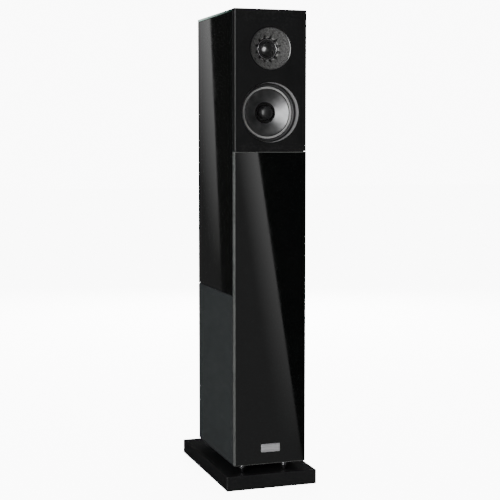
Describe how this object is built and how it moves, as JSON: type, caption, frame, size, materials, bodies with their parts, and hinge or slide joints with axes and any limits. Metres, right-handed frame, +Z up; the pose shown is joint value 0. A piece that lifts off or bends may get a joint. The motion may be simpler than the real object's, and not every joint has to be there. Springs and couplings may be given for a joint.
{
  "type": "floorstanding speaker",
  "caption": "Slim floorstanding loudspeaker: front tweeter and midrange, opposed side woofers behind lift-off grilles, rear port, screw terminals, cone feet and plinth.",
  "frame": {"origin": "on the floor, under the middle of the plinth", "axes": "+Z up, -Y towards the listener, +X to the right seen from the front"},
  "size_m": [0.197, 0.336, 0.985],
  "materials": {
    "plinth_lacquer": "satin black lacquer",
    "soft_rubber": "matte",
    "foot_metal": "satin",
    "fibreboard": "raw board, black paint where it shows",
    "matte_baffle": "matte black with a faint texture",
    "black_glass": "gloss, painted black behind",
    "badge_silver": "brushed",
    "tweeter_casting": "crackle-textured charcoal",
    "tweeter_gloss": "gloss black",
    "ring_metal": "satin dark grey",
    "cone_metal": "satin dark grey, spun",
    "surround_rubber": "satin",
    "basket_metal": "powder coated black",
    "magnet_steel": "dark plated",
    "spider_cloth": "resin-dipped weave",
    "woofer_cone": "satin black",
    "frame_plastic": "moulded matte",
    "grille_cloth": "stretched knitted cloth",
    "port_plastic": "moulded satin",
    "terminal_plastic": "moulded satin",
    "post_brass": "plated",
    "knob_red": "gloss red",
    "knob_black": "gloss black",
    "circuit_board": "green solder mask",
    "coil_copper": "enamelled copper wire",
    "capacitor_film": "wrapped film"
  },
  "bodies": {
    "cabinet": {"plinth_board": "plinth_lacquer", "plinth_pad_1": "soft_rubber", "plinth_pad_2": "soft_rubber", "plinth_pad_3": "soft_rubber", "plinth_pad_4": "soft_rubber", "cone_foot_1": "foot_metal", "cone_foot_2": "foot_metal", "cone_foot_3": "foot_metal", "cone_foot_4": "foot_metal", "left_side_board": "fibreboard", "right_side_board": "fibreboard", "top_board": "fibreboard", "bottom_board": "fibreboard", "back_board": "fibreboard", "front_board": "fibreboard", "mid_chamber_shelf": "fibreboard", "window_brace": "fibreboard", "upper_baffle_cover": "matte_baffle", "lower_front_glass": "black_glass", "left_glass_panel": "black_glass", "right_glass_panel": "black_glass", "top_glass_panel": "black_glass", "badge_plate": "badge_silver", "tweeter_faceplate": "tweeter_casting", "tweeter_clamp_ring": "tweeter_gloss", "tweeter_surround": "surround_rubber", "mid_surround": "surround_rubber", "left_woofer_surround": "surround_rubber", "right_woofer_surround": "surround_rubber", "tweeter_motor": "magnet_steel", "mid_magnet": "magnet_steel", "left_woofer_magnet": "magnet_steel", "right_woofer_magnet": "magnet_steel", "mid_trim_ring": "ring_metal", "mid_basket": "basket_metal", "left_woofer_basket": "basket_metal", "right_woofer_basket": "basket_metal", "mid_phase_plug": "cone_metal", "mid_spider": "spider_cloth", "left_woofer_spider": "spider_cloth", "right_woofer_spider": "spider_cloth", "port_tube": "port_plastic", "terminal_plate": "terminal_plastic", "red_post": "post_brass", "black_post": "post_brass", "crossover_board": "circuit_board", "crossover_coil": "coil_copper", "crossover_capacitor": "capacitor_film"},
    "tweeter_dome": {"tweeter_diaphragm": "tweeter_gloss"},
    "mid_cone": {"mid_cone": "cone_metal"},
    "left_woofer_cone": {"left_woofer_cone": "woofer_cone"},
    "right_woofer_cone": {"right_woofer_cone": "woofer_cone"},
    "left_grille": {"left_grille_frame": "frame_plastic", "left_grille_cloth": "grille_cloth"},
    "right_grille": {"right_grille_frame": "frame_plastic", "right_grille_cloth": "grille_cloth"},
    "red_clamp": {"red_clamp_washer": "post_brass"},
    "red_knob": {"red_knob": "knob_red"},
    "black_clamp": {"black_clamp_washer": "post_brass"},
    "black_knob": {"black_knob": "knob_black"}
  },
  "joints": [
    {"name": "tweeter_dome_slide", "type": "slide", "parent": "cabinet", "child": "tweeter_dome", "axis": [0, -1, 0], "range_m": [-0.0005, 0.0005], "stiffness_N_per_m": 500, "deforming": ["tweeter_surround"]},
    {"name": "mid_cone_slide", "type": "slide", "parent": "cabinet", "child": "mid_cone", "axis": [0, -1, 0], "range_m": [-0.003, 0.003], "stiffness_N_per_m": 1000, "deforming": ["mid_surround", "mid_spider"]},
    {"name": "left_woofer_cone_slide", "type": "slide", "parent": "cabinet", "child": "left_woofer_cone", "axis": [-1, 0, 0], "range_m": [-0.005, 0.005], "stiffness_N_per_m": 1000, "deforming": ["left_woofer_surround", "left_woofer_spider"]},
    {"name": "left_grille_pull", "type": "slide", "parent": "cabinet", "child": "left_grille", "axis": [-1, 0, 0], "range_m": [0, 0.03]},
    {"name": "right_woofer_cone_slide", "type": "slide", "parent": "cabinet", "child": "right_woofer_cone", "axis": [1, 0, 0], "range_m": [-0.005, 0.005], "stiffness_N_per_m": 1000, "deforming": ["right_woofer_surround", "right_woofer_spider"]},
    {"name": "right_grille_pull", "type": "slide", "parent": "cabinet", "child": "right_grille", "axis": [1, 0, 0], "range_m": [0, 0.03]},
    {"name": "red_clamp_slide", "type": "slide", "parent": "cabinet", "child": "red_clamp", "axis": [0, 1, 0], "range_m": [0, 0.0026]},
    {"name": "red_knob_turn", "type": "hinge", "parent": "red_clamp", "child": "red_knob", "pos_m": [0.019, 0.1116, 0.12], "axis": [0, 1, 0], "range_deg": [0, 900]},
    {"name": "black_clamp_slide", "type": "slide", "parent": "cabinet", "child": "black_clamp", "axis": [0, 1, 0], "range_m": [0, 0.0026]},
    {"name": "black_knob_turn", "type": "hinge", "parent": "black_clamp", "child": "black_knob", "pos_m": [-0.019, 0.1116, 0.12], "axis": [0, 1, 0], "range_deg": [0, 900]}
  ],
  "couplings": [
    {"joint": "red_clamp_slide", "follows": "red_knob_turn", "m_per_rad": 0.00015915},
    {"joint": "black_clamp_slide", "follows": "black_knob_turn", "m_per_rad": 0.00015915}
  ]
}
